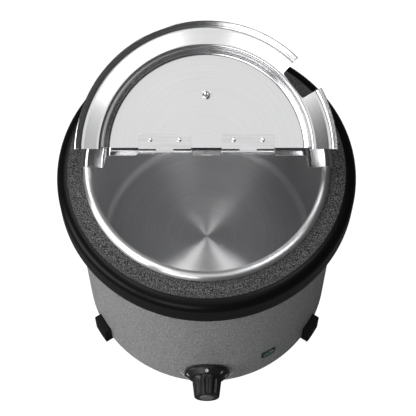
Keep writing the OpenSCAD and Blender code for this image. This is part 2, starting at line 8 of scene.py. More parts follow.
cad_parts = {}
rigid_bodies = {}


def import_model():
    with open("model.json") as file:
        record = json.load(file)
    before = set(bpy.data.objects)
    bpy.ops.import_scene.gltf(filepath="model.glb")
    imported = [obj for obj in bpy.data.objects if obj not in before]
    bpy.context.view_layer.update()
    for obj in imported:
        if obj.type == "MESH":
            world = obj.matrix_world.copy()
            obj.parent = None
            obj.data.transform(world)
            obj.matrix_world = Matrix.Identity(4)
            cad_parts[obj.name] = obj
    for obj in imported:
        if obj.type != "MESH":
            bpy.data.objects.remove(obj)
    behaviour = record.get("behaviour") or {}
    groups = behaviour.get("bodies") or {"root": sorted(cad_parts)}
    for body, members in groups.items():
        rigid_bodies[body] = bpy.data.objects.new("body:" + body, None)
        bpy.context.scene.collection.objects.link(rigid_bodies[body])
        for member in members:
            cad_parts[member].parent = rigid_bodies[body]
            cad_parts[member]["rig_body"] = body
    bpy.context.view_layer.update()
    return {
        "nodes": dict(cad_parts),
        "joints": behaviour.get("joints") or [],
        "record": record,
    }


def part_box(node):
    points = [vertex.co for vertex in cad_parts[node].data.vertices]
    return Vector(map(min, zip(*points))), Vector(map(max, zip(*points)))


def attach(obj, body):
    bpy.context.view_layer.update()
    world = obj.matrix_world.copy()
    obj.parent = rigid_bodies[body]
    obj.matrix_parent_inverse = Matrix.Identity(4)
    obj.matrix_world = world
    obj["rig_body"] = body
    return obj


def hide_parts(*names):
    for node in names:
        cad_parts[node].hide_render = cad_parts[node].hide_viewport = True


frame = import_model()

MM = 0.001
SEGMENTS = 256          # steps round a large turned piece

# ---- Sizes in millimetres, from the frame's boxes and the part's own sheet sizes ----


def box_mm(node):
    low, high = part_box(node)
    return low / MM, high / MM


COLLAR_LOW, COLLAR_HIGH = box_mm("collar")
COLLAR_R = COLLAR_HIGH.x
LAND_Z = COLLAR_HIGH.z
COLLAR_Z = COLLAR_LOW.z
COLLAR_DROP = 1.8
COLLAR_TOP = LAND_Z - COLLAR_DROP
COLLAR_BORE = 131.5
COLLAR_EDGE = 13.0
COLLAR_FOOT = 6.0
COLLAR_WALL = 3.0
COLLAR_EDGE_START = 83.6  # where the rounded edge leaves the sloping top
LAND_R = 141.0

CASING_LOW, CASING_HIGH = box_mm("outer_casing")
BODY_R = CASING_HIGH.x
BODY_Z = CASING_LOW.z
SHEET = 1.2

POT_LOW, POT_HIGH = box_mm("soup_pot")
POT_T = 0.8
BEAD_R = 4.9
BEAD_EDGE = 1.6
RIM_R = POT_HIGH.x - BEAD_R
RIM_Z = POT_HIGH.z - BEAD_R
POT_IN = RIM_R - BEAD_R
POT_FLOOR = POT_LOW.z + POT_T
POT_FILLET = 10.0

LID_T = 1.0
LID_TOP = box_mm("lid_rear")[1].z
SKIRT_R = 142.0
SKIRT_DROP = 1.17       # the skirt's edge lies this far below the middle of the pot's bead
LID_GAP = 0.3
WALL_LEAN = 9.0
FLANGE_RISE = 14.0
FLANGE_RUN = 14.0
SHOULDER_R = 6.0
VALLEY_R = 3.5
HINGE = next(j for j in frame["joints"] if j["name"] == "lid_hinge")
AXIS_Z = HINGE["pos_m"][2] / MM
OPEN_ANGLE = HINGE["range_deg"][1]
REAR_EDGE = -4.0
FRONT_EDGE = -4.6
HINGE_X = 46.0
LEAF_W = 58.0
LEAF_REACH = 20.0
LEAF_T = 1.0
PIN_R = 1.5
KNUCKLE_R = PIN_R + LEAF_T
LEAF_START = KNUCKLE_R + 0.8
KNUCKLE_W = LEAF_W / 3
RIVET_REACH = 13.2
RIVET_X = 16.0
NOTCH_ANGLE = 52.0
NOTCH_SPAN = 16.5
NOTCH_IN = 119.0
LID_KNOB_REACH = 62.4
LID_KNOB_H = 27.6

CONTROL = next(j for j in frame["joints"] if j["name"] == "control_turn")
CONTROL_Z = CONTROL["pos_m"][2] / MM
CONTROL_TIP = -box_mm("knob_cap")[0].y
DIAL_BACK = -box_mm("dial_skirt")[1].y
DIAL_R = box_mm("dial_skirt")[1].x
DIAL_T = 9.5
DIAL_EDGE = 3.5
GRIP_R = 18.3
GRIP_TIP_R = 15.8
LAMP_ANGLE = 29.7
LAMP_Z = 60.0
FOOT_W = 24.5
FOOT_H = box_mm("foot_rear")[1].z
FOOT_PROUD = 9.5
FOOT_ANGLE = 57.0
FOOT_INSIDE = 128.0     # how far in each foot reaches under the casing

# ---- Mesh helpers: everything is made in millimetres and scaled once ----


def arc(cx, cy, r, start, end, steps=8):
    angles = [math.radians(start + (end - start) * i / steps) for i in range(steps + 1)]
    return [(cx + r * math.cos(a), cy + r * math.sin(a)) for a in angles]


def round_corners(points, radius, steps=5):
    """The closed outline with every corner rounded."""
    out = []
    count = len(points)
    for i, p in enumerate(points):
        here = Vector(p)
        back = (Vector(points[i - 1]) - here)
        ahead = (Vector(points[(i + 1) % count]) - here)
        cut = min(radius, back.length * 0.45, ahead.length * 0.45)
        first = here + back.normalized() * cut
        last = here + ahead.normalized() * cut
        for k in range(steps + 1):
            t = k / steps
            q = first * (1 - t) ** 2 + here * 2 * t * (1 - t) + last * t ** 2
            out.append((q.x, q.y))
    return out


def to_object(bm, name, place=Matrix.Identity(4)):
    bmesh.ops.remove_doubles(bm, verts=bm.verts, dist=1e-4)
    bmesh.ops.recalc_face_normals(bm, faces=bm.faces)
    mesh = bpy.data.meshes.new(name)
    bm.to_mesh(mesh)
    bm.free()
    mesh.transform(Matrix.Scale(MM, 4) @ place)
    piece = bpy.data.objects.new(name, mesh)
    bpy.context.scene.collection.objects.link(piece)
    return piece


def lathe_bmesh(profile, segments=SEGMENTS, shape=None):
    """A closed (radius, height) outline turned about Z. shape(angle, r, z) may change a radius."""
    bm = bmesh.new()
    rings = []
    for r, z in profile:
        if r < 1e-6:
            rings.append([bm.verts.new((0, 0, z))])
            continue
        ring = []
        for i in range(segments):
            a = 2 * math.pi * i / segments
            q = shape(a, r, z) if shape else r
            ring.append(bm.verts.new((q * math.cos(a), q * math.sin(a), z)))
        rings.append(ring)
    for low, high in zip(rings, rings[1:] + rings[:1]):
        if len(low) == 1 and len(high) == 1:
            continue
        for i in range(segments):
            j = (i + 1) % segments
            if len(low) == 1:
                bm.faces.new((low[0], high[i], high[j]))
            elif len(high) == 1:
                bm.faces.new((low[i], high[0], low[j]))
            else:
                bm.faces.new((low[i], high[i], high[j], low[j]))
    return bm


def lathe(name, profile, segments=SEGMENTS, shape=None, place=Matrix.Identity(4)):
    return to_object(lathe_bmesh(profile, segments, shape), name, place)


def prism_bmesh(outline, z0, z1):
    bm = bmesh.new()
    low = [bm.verts.new((x, y, z0)) for x, y in outline]
    high = [bm.verts.new((x, y, z1)) for x, y in outline]
    bm.faces.new(list(reversed(low)))
    bm.faces.new(high)
    for i in range(len(outline)):
        j = (i + 1) % len(outline)
        bm.faces.new((low[i], low[j], high[j], high[i]))
    return bm


def prism(name, outline, z0, z1, place=Matrix.Identity(4)):
    return to_object(prism_bmesh(outline, z0, z1), name, place)


def rectangle(w, h, cx=0.0, cy=0.0):
    return [(cx - w / 2, cy - h / 2), (cx + w / 2, cy - h / 2),
            (cx + w / 2, cy + h / 2), (cx - w / 2, cy + h / 2)]


def apply_modifiers(piece):
    graph = bpy.context.evaluated_depsgraph_get()
    mesh = bpy.data.meshes.new_from_object(piece.evaluated_get(graph))
    piece.modifiers.clear()
    piece.data = mesh


def combine(piece, other, operation="DIFFERENCE"):
    cut = piece.modifiers.new("cut", "BOOLEAN")
    cut.operation = operation
    cut.solver = "EXACT"
    cut.object = other
    apply_modifiers(piece)
    bpy.data.objects.remove(other)
    return piece


def bevel(piece, width, segments=2, angle=35):
    edge = piece.modifiers.new("bevel", "BEVEL")
    edge.width = width * MM
    edge.segments = segments
    edge.limit_method = "ANGLE"
    edge.angle_limit = math.radians(angle)
    apply_modifiers(piece)
    return piece


def cut_by_plane(piece, y, keep_rear):
    """Keeps what lies behind (or in front of) the plane at that y, and closes the cut."""
    bm = bmesh.new()
    bm.from_mesh(piece.data)
    found = bmesh.ops.bisect_plane(
        bm, geom=bm.verts[:] + bm.edges[:] + bm.faces[:], plane_co=(0, y * MM, 0),
        plane_no=(0, -1, 0) if keep_rear else (0, 1, 0), clear_outer=True)
    rim = [e for e in found["geom_cut"] if isinstance(e, bmesh.types.BMEdge)]
    bmesh.ops.holes_fill(bm, edges=rim, sides=0)
    bmesh.ops.recalc_face_normals(bm, faces=bm.faces)
    bm.to_mesh(piece.data)
    bm.free()
    return piece


def smooth(piece, angle=35):
    for face in piece.data.polygons:
        face.use_smooth = True
    piece.data.set_sharp_from_angle(angle=math.radians(angle))
    weigh = piece.modifiers.new("weigh", "WEIGHTED_NORMAL")
    weigh.keep_sharp = True
    apply_modifiers(piece)
    return piece


def place_piece(piece, body, material, replaces=(), angle=35):
    smooth(piece, angle)
    piece.data.materials.clear()
    piece.data.materials.append(material)
    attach(piece, body)
    if replaces:
        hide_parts(*replaces)
    return piece


def join(name, pieces):
    bm = bmesh.new()
    for piece in pieces:
        bm.from_mesh(piece.data)
        bpy.data.objects.remove(piece)
    mesh = bpy.data.meshes.new(name)
    bm.to_mesh(mesh)
    bm.free()
    joined = bpy.data.objects.new(name, mesh)
    bpy.context.scene.collection.objects.link(joined)
    return joined


def soft_copy(node, width):
    """The CAD node's shape with its sharp edges rounded."""
    bm = bmesh.new()
    bm.from_mesh(frame["nodes"][node].data)
    bmesh.ops.remove_doubles(bm, verts=bm.verts, dist=1e-6)
    bmesh.ops.dissolve_limit(bm, angle_limit=math.radians(0.5), verts=bm.verts, edges=bm.edges)
    mesh = bpy.data.meshes.new(node + "_soft")
    bm.to_mesh(mesh)
    bm.free()
    piece = bpy.data.objects.new(node + "_soft", mesh)
    bpy.context.scene.collection.objects.link(piece)
    return bevel(piece, width)


def turn(axis, degrees):
    return Matrix.Rotation(math.radians(degrees), 4, axis)


def shift(x, y, z):
    return Matrix.Translation((x, y, z))


OUT_FRONT = turn("X", 90)               # +Z of a turned piece to -Y, out of the front
OPENED = shift(0, 0, AXIS_Z) @ turn("X", -OPEN_ANGLE) @ shift(0, 0, -AXIS_Z)


def in_metres(matrix):
    """The same move, for a mesh that is already scaled to metres."""
    return Matrix.Scale(MM, 4) @ matrix @ Matrix.Scale(1 / MM, 4)


def fold_back(piece):
    """Turns a piece drawn on the closed lid to where the opened front half lies."""
    piece.data.transform(in_metres(OPENED))


def at_front(z, angle=0.0):
    return turn("Z", angle) @ shift(0, 0, z) @ OUT_FRONT


# ---- Materials ----


class Shader:
    """A Principled material and short ways to add nodes to it."""

    def __init__(self, name, base, rough, metallic=0.0, **sockets):
        self.material = bpy.data.materials.new(name)
        self.material.use_nodes = True
        self.tree = self.material.node_tree
        self.bsdf = self.tree.nodes["Principled BSDF"]
        self.bsdf.inputs["Base Color"].default_value = (*base, 1)
        self.bsdf.inputs["Roughness"].default_value = rough
        self.bsdf.inputs["Metallic"].default_value = metallic
        for key, value in sockets.items():
            self.bsdf.inputs[key.replace("_", " ")].default_value = value
        self.coords = self.add("ShaderNodeTexCoord").outputs["Object"]
        self.normal = None

    def add(self, kind, **settings):
        node = self.tree.nodes.new(kind)
        for key, value in settings.items():
            setattr(node, key, value)
        return node

    def link(self, out, into):
        self.tree.links.new(out, into)

    def noise(self, scale, detail=3.0, rough=0.5, vector=None):
        node = self.add("ShaderNodeTexNoise")
        node.inputs["Scale"].default_value = scale
        node.inputs["Detail"].default_value = detail
        node.inputs["Roughness"].default_value = rough
        self.link(vector or self.coords, node.inputs["Vector"])
        return node.outputs["Fac"]

    def cells(self, scale):
        node = self.add("ShaderNodeTexVoronoi", feature="SMOOTH_F1")
        node.inputs["Scale"].default_value = scale
        node.inputs["Smoothness"].default_value = 0.6
        self.link(self.coords, node.inputs["Vector"])
        return node.outputs["Distance"]

    def span(self, value, low, high, from_low=0.3, from_high=0.7):
        node = self.add("ShaderNodeMapRange")
        for socket, number in (("From Min", from_low), ("From Max", from_high),
                               ("To Min", low), ("To Max", high)):
            node.inputs[socket].default_value = number
        self.link(value, node.inputs["Value"])
        return node.outputs["Result"]

    def colours(self, value, stops):
        node = self.add("ShaderNodeValToRGB")
        ramp = node.color_ramp
        while len(ramp.elements) < len(stops):
            ramp.elements.new(0.5)
        for element, (place, colour) in zip(ramp.elements, stops):
            element.position = place
            element.color = (*colour, 1)
        self.link(value, node.inputs["Fac"])
        self.link(node.outputs["Color"], self.bsdf.inputs["Base Color"])

    def roughness(self, value, low, high, from_low=0.3, from_high=0.7):
        self.link(self.span(value, low, high, from_low, from_high), self.bsdf.inputs["Roughness"])

    def bump(self, height, distance, strength):
        node = self.add("ShaderNodeBump")
        node.inputs["Distance"].default_value = distance
        node.inputs["Strength"].default_value = strength
        self.link(height, node.inputs["Height"])
        if self.normal:
            self.link(self.normal, node.inputs["Normal"])
        self.normal = node.outputs["Normal"]
        self.link(self.normal, self.bsdf.inputs["Normal"])

    def turned_coords(self, degrees, centre_z):
        """Coordinates with a piece that was folded about X put back level."""
        node = self.add("ShaderNodeMapping")
        back = turn("X", degrees)
        centre = Vector((0, 0, centre_z))
        node.inputs["Rotation"].default_value = (math.radians(degrees), 0, 0)
        node.inputs["Location"].default_value = centre - back @ centre
        self.link(self.coords, node.inputs["Vector"])
        return node.outputs["Vector"]

    def ring_coords(self, vector, along, around):
        """(radius, height, angle) coordinates, so noise becomes rings round the Z axis."""
        parts = self.add("ShaderNodeSeparateXYZ")
        self.link(vector, parts.inputs["Vector"])
        flat = self.add("ShaderNodeCombineXYZ")
        self.link(parts.outputs["X"], flat.inputs["X"])
        self.link(parts.outputs["Y"], flat.inputs["Y"])
        length = self.add("ShaderNodeVectorMath", operation="LENGTH")
        self.link(flat.outputs["Vector"], length.inputs[0])
        angle = self.add("ShaderNodeMath", operation="ARCTAN2")
        self.link(parts.outputs["Y"], angle.inputs[0])
        self.link(parts.outputs["X"], angle.inputs[1])
        out = self.add("ShaderNodeCombineXYZ")
        for source, target, scale in ((length.outputs["Value"], "X", along),
                                      (parts.outputs["Z"], "Y", along),
                                      (angle.outputs["Value"], "Z", around)):
            grow = self.add("ShaderNodeMath", operation="MULTIPLY")
            grow.inputs[1].default_value = scale
            self.link(source, grow.inputs[0])
            self.link(grow.outputs["Value"], out.inputs[target])
        return out.outputs["Vector"]

    def radius(self):
        """Distance from the Z axis."""
        level = self.add("ShaderNodeVectorMath", operation="MULTIPLY")
        level.inputs[1].default_value = (1, 1, 0)
        self.link(self.coords, level.inputs[0])
        length = self.add("ShaderNodeVectorMath", operation="LENGTH")
        self.link(level.outputs["Vector"], length.inputs[0])
        return length.outputs["Value"]

    def round_grain(self, centre, axis):
        """Brushed round the axis through centre, so rough across the lines and smooth along them."""
        away = self.add("ShaderNodeVectorMath", operation="SUBTRACT")
        away.inputs[1].default_value = centre
        self.link(self.coords, away.inputs[0])
        across = self.add("ShaderNodeVectorMath", operation="CROSS_PRODUCT")
        across.inputs[0].default_value = axis
        self.link(away.outputs["Vector"], across.inputs[1])
        world = self.add("ShaderNodeVectorTransform", vector_type="VECTOR",
                         convert_from="OBJECT", convert_to="WORLD")
        self.link(across.outputs["Vector"], world.inputs["Vector"])
        over = self.add("ShaderNodeVectorMath", operation="CROSS_PRODUCT")
        self.link(self.add("ShaderNodeNewGeometry").outputs["Normal"], over.inputs[0])
        self.link(world.outputs["Vector"], over.inputs[1])
        unit = self.add("ShaderNodeVectorMath", operation="NORMALIZE")
        self.link(over.outputs["Vector"], unit.inputs[0])
        self.link(unit.outputs["Vector"], self.bsdf.inputs["Tangent"])

    def stretched(self, x, y, z):
        node = self.add("ShaderNodeMapping")
        node.inputs["Scale"].default_value = (x, y, z)
        self.link(self.coords, node.inputs["Vector"])
        return node.outputs["Vector"]


def grey(value):
    return (value, value, value * 1.01)


def hammered(name, dark, light, cell, depth, rough, metallic, coat):
    """Hammer-finish paint: rounded cells with fine flakes between them."""
    s = Shader(name, grey(light), rough, metallic, Coat_Weight=coat, Coat_Roughness=0.25)
    flakes = s.noise(cell, 5, 0.75)
    s.colours(flakes, [(0.4, grey(dark)), (0.6, grey(light))])
    s.roughness(flakes, rough - 0.07, rough + 0.1)
    s.bump(s.cells(cell * 0.5), depth, 0.5)
    s.bump(flakes, depth, 0.6)
    return s.material


def collar_finish():
    """Speckled paint on the flat top, plain satin black round the outer edge and below."""
    s = Shader("collar_paint_look", grey(0.03), 0.4, 0.0, Specular_IOR_Level=0.1)
    radius = s.radius()
    top = s.span(radius, 1, 0, (COLLAR_R - COLLAR_EDGE) * MM, (COLLAR_R - COLLAR_EDGE + 1) * MM)
    flakes = s.noise(760, 5, 0.75)
    speckle = s.add("ShaderNodeMath", operation="MULTIPLY")
    s.link(s.span(flakes, 0, 1, 0.4, 0.62), speckle.inputs[0])
    s.link(top, speckle.inputs[1])
    s.colours(speckle.outputs["Value"], [(0.0, grey(0.004)), (0.35, grey(0.035)), (1.0, grey(0.25))])
    s.link(s.span(speckle.outputs["Value"], 0.0, 0.5, 0, 1), s.bsdf.inputs["Metallic"])
    s.link(s.span(top, 0.3, 0.52, 0, 1), s.bsdf.inputs["Roughness"])
    s.bump(speckle.outputs["Value"], 0.00025, 0.8)
    return s.material


def spun_steel(name, tone, rough, grain, degrees=0.0, centre_z=0.0, marks=0.35):
    """Stainless sheet brushed round its axis; degrees folds the axis about X at centre_z."""
    s = Shader(name, grey(tone), rough, 1.0, Anisotropic=grain)
    level = s.turned_coords(degrees, centre_z) if degrees else s.coords
    rings = s.ring_coords(level, along=900.0, around=1.4)
    lines = s.noise(1.0, 4, 0.65, rings)
    broad = s.noise(0.05, 2, 0.5, rings)
    s.colours(lines, [(0.3, grey(tone * (1 - marks * 0.3))), (0.7, grey(tone * (1 + marks * 0.15)))])
    s.roughness(broad, rough * (1 - marks * 0.5), rough * (1 + marks * 0.6))
    s.bump(lines, 0.00002, marks)
    back = turn("X", -degrees)
    s.round_grain(Vector((0, 0, centre_z)), back @ Vector((0, 0, 1)))
    return s.material


def straight_steel(name, tone, rough, stretch=(20, 900, 900)):
    """Stainless, zinc or other bare metal with straight fine lines; stretch sets their direction."""
    s = Shader(name, grey(tone), rough, 1.0)
    lines = s.noise(1.0, 4, 0.6, s.stretched(*stretch))
    s.colours(lines, [(0.3, grey(tone * 0.85)), (0.7, grey(min(tone * 1.08, 0.95)))])
    s.roughness(lines, rough * 0.8, rough * 1.25)
    s.bump(lines, 0.00002, 0.3)
    return s.material


def plastic(name, base, rough, grain=2500.0, depth=0.00003, coat=0.0, gloss=0.5):
    s = Shader(name, base, rough, 0.0, Coat_Weight=coat, Coat_Roughness=0.08, Specular_IOR_Level=gloss)
    fine = s.noise(grain, 2, 0.5)
    cloud = s.noise(60, 3, 0.5)
    low = tuple(c * 0.8 for c in base)
    high = tuple(min(c * 1.3 + 0.002, 1) for c in base)
    s.colours(cloud, [(0.3, low), (0.7, high)])
    s.roughness(cloud, rough * 0.9, rough * 1.12)
    s.bump(fine, depth, 0.5)
    return s.material


def fibre(name, base):
    s = Shader(name, base, 0.95)
    weave = s.noise(900, 5, 0.8)
    s.colours(weave, [(0.3, tuple(c * 0.6 for c in base)), (0.7, base)])
    s.bump(weave, 0.0004, 0.8)
    return s.material


def green_lens():
    s = Shader("lens_green_look", (0.004, 0.05, 0.032), 0.12, 0.0,
               Coat_Weight=0.6, Coat_Roughness=0.04, Transmission_Weight=0.25)
    ribs = s.noise(1.0, 1, 0.4, s.stretched(1500, 1500, 60))
    s.colours(ribs, [(0.3, (0.004, 0.06, 0.036)), (0.7, (0.012, 0.15, 0.09))])
    s.bump(ribs, 0.00008, 0.4)
    return s.material


LOOK = {
    "casing_paint": hammered("casing_paint_look", 0.16, 0.7, 720, 0.00024, 0.4, 0.4, 0.1),
    "collar_paint": collar_finish(),
    "stainless": spun_steel("stainless_look", 0.8, 0.34, 0.93, marks=0.3),
    "lid_steel": spun_steel("lid_steel_look", 0.74, 0.2, 0.4, marks=0.15),
    "lid_folded": spun_steel("lid_folded_look", 0.76, 0.2, 0.3, OPEN_ANGLE, AXIS_Z * MM, marks=0.12),
    "tank_steel": spun_steel("tank_steel_look", 0.55, 0.32, 0.4),
    "zinc_steel": straight_steel("zinc_steel_look", 0.55, 0.38, (300, 300, 300)),
    "hardware": straight_steel("hardware_look", 0.74, 0.24),
    "heat_aluminium": straight_steel("heat_aluminium_look", 0.7, 0.35),
    "element_sheath": straight_steel("element_sheath_look", 0.28, 0.5, (200, 200, 200)),
    "foot_plastic": plastic("foot_plastic_look", (0.003, 0.003, 0.003), 0.55, gloss=0.12),
    "control_plastic": plastic("control_plastic_look", (0.008, 0.008, 0.0083), 0.36, gloss=0.4),
    "knob_phenolic": plastic("knob_phenolic_look", (0.01, 0.01, 0.01), 0.22, coat=0.5),
    "cap_silver": spun_steel("cap_silver_look", 0.45, 0.4, 0.2),
    "gland_plastic": plastic("gland_plastic_look", (0.015, 0.015, 0.015), 0.45),
    "seal_rubber": plastic("seal_rubber_look", (0.03, 0.03, 0.03), 0.75),
    "gasket_silicone": plastic("gasket_silicone_look", (0.35, 0.07, 0.04), 0.6),
    "lens_green": green_lens(),
    "lamp_body": plastic("lamp_body_look", (0.7, 0.69, 0.64), 0.5),
    "ceramic": plastic("ceramic_look", (0.82, 0.8, 0.75), 0.35),
    "insulation": fibre("insulation_look", (0.62, 0.56, 0.35)),
    "copper": straight_steel("copper_look", 0.4, 0.35, (200, 200, 200)),
    "lead_insulation": plastic("lead_insulation_look", (0.35, 0.06, 0.035), 0.5),
}
PRINT_WHITE = plastic("print_white_look", (0.85, 0.85, 0.84), 0.5, depth=0.00001)

NODE_SLOT = {row["node"]: row["material_slot"] for row in frame["record"]["subparts"]}
for node_name, node_object in frame["nodes"].items():
    node_object.data.materials.clear()
    node_object.data.materials.append(LOOK[NODE_SLOT[node_name]])

# ---- Camera, light and floor ----


def look_at(thing, target):
    direction = Vector(target) - thing.location
    thing.rotation_euler = direction.to_track_quat("-Z", "Y").to_euler()


def softbox(name, place, target, size, power):
    data = bpy.data.lights.new(name, "AREA")
    data.shape = "RECTANGLE"
    data.size, data.size_y = size
    data.energy = power
    light = bpy.data.objects.new(name, data)
    light.location = place
    bpy.context.scene.collection.objects.link(light)
    look_at(light, target)


camera_data = bpy.data.cameras.new("camera")
camera_data.lens = 122.1
camera_data.sensor_width = 36
camera_data.shift_x = -0.0043
camera_data.clip_end = 50
camera = bpy.data.objects.new("camera", camera_data)
camera.location = (0.0037, -0.7138, 1.7314)
bpy.context.scene.collection.objects.link(camera)
look_at(camera, (0.0037, -0.0006, 0.2))
bpy.context.scene.camera = camera

MIDDLE = (0, 0, 0.25)
softbox("tent", (-0.08, -0.85, 2.4), (0, -0.5, 0), (2.9, 2.4), 19)
softbox("over_left", (-0.74, -0.08, 2.3), MIDDLE, (0.9, 0.7), 9.5)
softbox("over_right", (0.72, -0.06, 2.3), MIDDLE, (0.6, 0.7), 6.5)
softbox("key_left", (-2.9, -1.3, 0.5), MIDDLE, (3.2, 1.7), 84)
softbox("front_left", (-1.0, -3.0, 0.9), MIDDLE, (1.4, 1.2), 24)
softbox("rear_top", (-0.95, 0.95, 2.2), MIDDLE, (1.3, 0.9), 15)

world = bpy.data.worlds.new("studio")
world.use_nodes = True
world.node_tree.nodes["Background"].inputs["Color"].default_value = (0.9, 0.92, 0.95, 1)
world.node_tree.nodes["Background"].inputs["Strength"].default_value = 0.05
bpy.context.scene.world = world
bpy.context.scene.view_settings.view_transform = "Standard"

floor_bm = bmesh.new()
bmesh.ops.create_grid(floor_bm, x_segments=8, y_segments=8, size=6)
floor_mesh = bpy.data.meshes.new("floor")
floor_bm.to_mesh(floor_mesh)
floor_bm.free()
floor = bpy.data.objects.new("floor", floor_mesh)
bpy.context.scene.collection.objects.link(floor)
floor_look = Shader("floor_look", (0.1, 0.1, 0.1), 0.9)
floor_look.bsdf.inputs["Emission Color"].default_value = (1, 1, 1, 1)
glow = floor_look.span(floor_look.add("ShaderNodeLightPath").outputs["Is Camera Ray"], 0.03, 1, 0, 1)
floor_look.link(glow, floor_look.bsdf.inputs["Emission Strength"])
floor.data.materials.append(floor_look.material)

# ---- Casing and collar ----


def casing():
    inner = BODY_R - SHEET
    top = COLLAR_Z + COLLAR_WALL
    outline = [(inner, BODY_Z), (BODY_R - 0.3, BODY_Z), (BODY_R, BODY_Z + 0.3),
               (BODY_R, BODY_Z + 40), (BODY_R, top - 20), (BODY_R, top), (inner, top)]
    piece = lathe("casing_shell", outline)
    place_piece(piece, "base", LOOK["casing_paint"], ["outer_casing"])


def collar():
    edge = (COLLAR_R - COLLAR_EDGE, COLLAR_TOP - COLLAR_EDGE)
    low = (COLLAR_R - COLLAR_FOOT, COLLAR_Z + COLLAR_FOOT)
    lip = LAND_Z - 11
    inside = BODY_R + 0.1
    outline = [(COLLAR_BORE, lip)] + arc(COLLAR_BORE + 1, LAND_Z - 1, 1, 180, 90, 4)
    outline += [(LAND_R, LAND_Z)]
    outline += arc(*edge, COLLAR_EDGE, COLLAR_EDGE_START, 0, 24) + arc(*low, COLLAR_FOOT, 0, -90, 12)
    outline += [(inside, COLLAR_Z), (inside, COLLAR_Z + COLLAR_WALL)]
    outline += [(low[0], COLLAR_Z + COLLAR_WALL)]
    outline += arc(*low, COLLAR_FOOT - COLLAR_WALL, -90, 0, 6)
    outline += arc(*edge, COLLAR_EDGE - COLLAR_WALL, 0, 90, 10)
    outline += [(COLLAR_BORE + COLLAR_WALL, COLLAR_TOP - COLLAR_WALL)]
    outline += [(COLLAR_BORE + COLLAR_WALL, lip)]
    piece = lathe("collar_ring", outline)
    place_piece(piece, "base", LOOK["collar_paint"], ["collar"])


def feet():
    for name, angle in (("foot_left", -FOOT_ANGLE), ("foot_right", FOOT_ANGLE), ("foot_rear", 180)):
        out, inner = BODY_R + FOOT_PROUD, BODY_R + 0.15
        outline = round_corners([(FOOT_INSIDE, 0), (out, 0), (out, FOOT_H), (inner, FOOT_H),
                                 (inner, BODY_Z), (FOOT_INSIDE, BODY_Z)], 1.6, 4)
        ring = lathe(name + "_block", outline, 720)
        bar = prism("bar", rectangle(FOOT_W, 90, 0, -BODY_R), -1, FOOT_H + 1)
        combine(ring, bar, "INTERSECT")
        hole = lathe("hole", [(0, -1), (4.5, -1), (4.5, 3.5), (0, 3.5)], 32,
                     place=shift(0, -BODY_R + 14, 0))
        combine(ring, hole)
        bevel(ring, 0.9, 3, 50)
        ring.data.transform(turn("Z", angle))
        place_piece(ring, "base", LOOK["foot_plastic"], [name])


# ---- Pot ----


def bead(r, edge):
    """Section of the rolled rim, from the pot's wall over the top, down and back under."""
    corner = (RIM_R + r - edge, RIM_Z - r + edge)
    return (arc(RIM_R, RIM_Z, r, 180, 0, 28) + arc(*corner, edge, 0, -90, 6)
            + arc(RIM_R, RIM_Z, r, -90, -125, 6))


def pot():
    wall = POT_IN + POT_T
    fillet = POT_FILLET
    outline = [(0, POT_FLOOR), (20, POT_FLOOR), (60, POT_FLOOR), (100, POT_FLOOR)]
    outline += arc(POT_IN - fillet, POT_FLOOR + fillet, fillet, -90, 0, 16)
    outline += [(POT_IN, POT_FLOOR + 60), (POT_IN, POT_FLOOR + 120)]
    outline += bead(BEAD_R, BEAD_EDGE)
    outline += reversed(bead(BEAD_R - POT_T, BEAD_EDGE - POT_T))
    outline += [(wall, RIM_Z - 1), (wall, POT_FLOOR + 120), (wall, POT_FLOOR + 60)]
    outline += arc(POT_IN - fillet, POT_FLOOR + fillet, fillet + POT_T, 0, -90, 12)
    outline += [(100, POT_FLOOR - POT_T), (60, POT_FLOOR - POT_T), (0, POT_FLOOR - POT_T)]
    piece = lathe("pot_shell", outline)
    place_piece(piece, "pot", LOOK["stainless"], ["soup_pot"])


# ---- Lid ----


def heading(degrees):
    """Unit vector of a section, measured from outwards towards up."""
    return Vector((math.cos(math.radians(degrees)), math.sin(math.radians(degrees))))


def lid_side(side):
    """One face of the lid's sheet, from the middle outwards: side is half the sheet, + for the top."""
    ridge = BEAD_R + LID_GAP + LID_T / 2
    level = LID_TOP - LID_T / 2
    up, along = heading(90 + FLANGE_RISE), heading(FLANGE_RISE)
    climb, wall = heading(90 + WALL_LEAN), heading(WALL_LEAN)
    bead_c = Vector((RIM_R, RIM_Z))
    valley_c = bead_c + up * ridge - along * FLANGE_RUN + up * VALLEY_R
    foot = valley_c - wall * VALLEY_R
    height = (level - SHOULDER_R + SHOULDER_R * wall.y - foot.y) / wall.x
    shoulder_c = foot + climb * height - wall * SHOULDER_R
    end = Vector((SKIRT_R, RIM_Z - SKIRT_DROP))
    away = end - bead_c
    turned = math.degrees(math.atan2(away.y, away.x) + math.acos(ridge / away.length))
    out = [(0, level + side), (50, level + side)]
    out += arc(*shoulder_c, SHOULDER_R + side, 90, WALL_LEAN, 10)
    out += arc(*valley_c, VALLEY_R - side, 180 + WALL_LEAN, 270 + FLANGE_RISE, 10)
    out += arc(*bead_c, ridge + side, 90 + FLANGE_RISE, turned, 10)
    out.append(tuple(end + heading(turned) * side))
    return out


def whole_lid(name):
    top, under = lid_side(LID_T / 2), lid_side(-LID_T / 2)
    return lathe(name, top + list(reversed(under)), 360)


def hinge_gap(hinge):
    """Outline of the cut for one hinge, with the sheet's corners rounded where it starts."""
    r, side = 3.0, LEAF_W / 2 + 1
    left, right = hinge * HINGE_X - side, hinge * HINGE_X + side
    outline = [(left - r, REAR_EDGE - 6), (right + r, REAR_EDGE - 6)]
    outline += arc(right + r, REAR_EDGE + r, r, -90, -180, 6)
    outline += [(right, LEAF_START), (left, LEAF_START)]
    outline += arc(left - r, REAR_EDGE + r, r, 0, -90, 6)
    return outline


